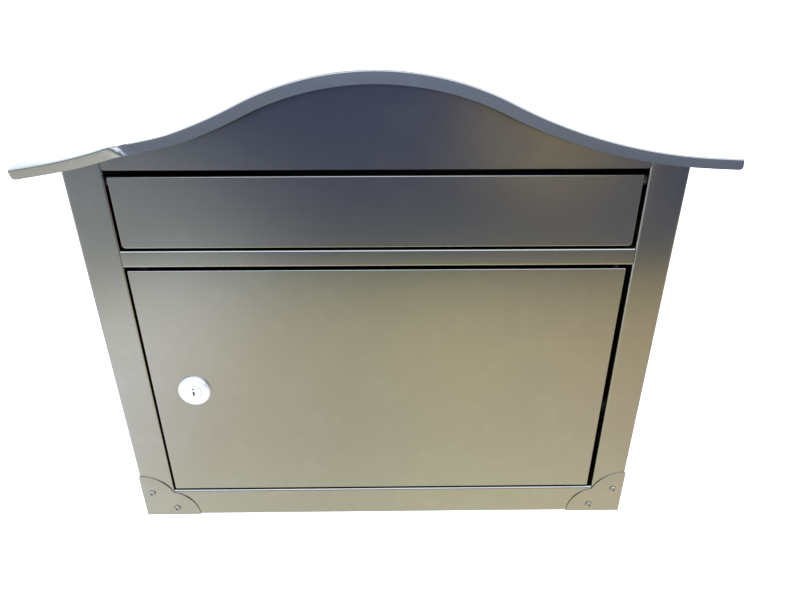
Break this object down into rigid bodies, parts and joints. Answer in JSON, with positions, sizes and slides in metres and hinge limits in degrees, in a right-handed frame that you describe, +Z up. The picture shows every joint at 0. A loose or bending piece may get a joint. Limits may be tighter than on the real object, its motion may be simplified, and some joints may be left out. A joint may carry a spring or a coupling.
{
  "type": "parcel drop box",
  "caption": "Wall-mounted mail and parcel drop box in folded sheet steel, with an arched roof, a push-in mail flap and a side-hinged collection door with a cam lock.",
  "frame": {"origin": "centre of the case's underside, at the middle of its width and depth", "axes": "+Z up, the front with its door and flap faces -Y, the wall side faces +Y, +X is to the right seen from the front"},
  "size_m": [0.4461, 0.216, 0.3462],
  "materials": {
    "case_coat": "satin dark pewter powder coat with a fine metallic sparkle",
    "roof_coat": "satin dark pewter powder coat with a fine metallic sparkle",
    "door_coat": "satin dark pewter powder coat with a fine metallic sparkle",
    "trim_coat": "satin dark pewter powder coat, corner plates and rivets",
    "lock_chrome": "polished chrome",
    "lock_plug_metal": "satin nickel",
    "zinc_steel": "bright zinc plate",
    "nylon": "natural nylon",
    "rubber": "matt black"
  },
  "bodies": {
    "case": {"left_side_panel": "case_coat", "right_side_panel": "case_coat", "back_panel": "case_coat", "floor_pan": "case_coat", "gable_panel": "case_coat", "mid_rail": "case_coat", "roof": "roof_coat", "baffle_plate": "case_coat", "corner_plate_left": "trim_coat", "corner_plate_right": "trim_coat", "corner_rivets": "trim_coat", "flap_rod": "zinc_steel", "flap_rod_clips": "zinc_steel", "door_pivot_pins": "zinc_steel", "door_pivot_washer": "nylon", "door_bumpers": "rubber"},
    "flap": {"flap_panel": "door_coat", "flap_bushes": "nylon"},
    "door": {"door_panel": "door_coat", "lock_barrel": "lock_chrome", "lock_washer": "zinc_steel", "lock_nut": "zinc_steel"},
    "lock_rotor": {"lock_plug": "lock_plug_metal", "lock_cam": "zinc_steel", "cam_screw": "zinc_steel"}
  },
  "joints": [
    {"name": "flap_hinge", "type": "hinge", "parent": "case", "child": "flap", "pos_m": [0, -0.095, 0.2802], "axis": [1, 0, 0], "range_deg": [0, 75]},
    {"name": "door_hinge", "type": "hinge", "parent": "case", "child": "door", "pos_m": [0.165, -0.094, 0.12], "axis": [0, 0, 1], "range_deg": [0, 105]},
    {"name": "lock_turn", "type": "hinge", "parent": "door", "child": "lock_rotor", "pos_m": [-0.141, -0.1, 0.124], "axis": [0, 1, 0], "range_deg": [0, 90]}
  ]
}
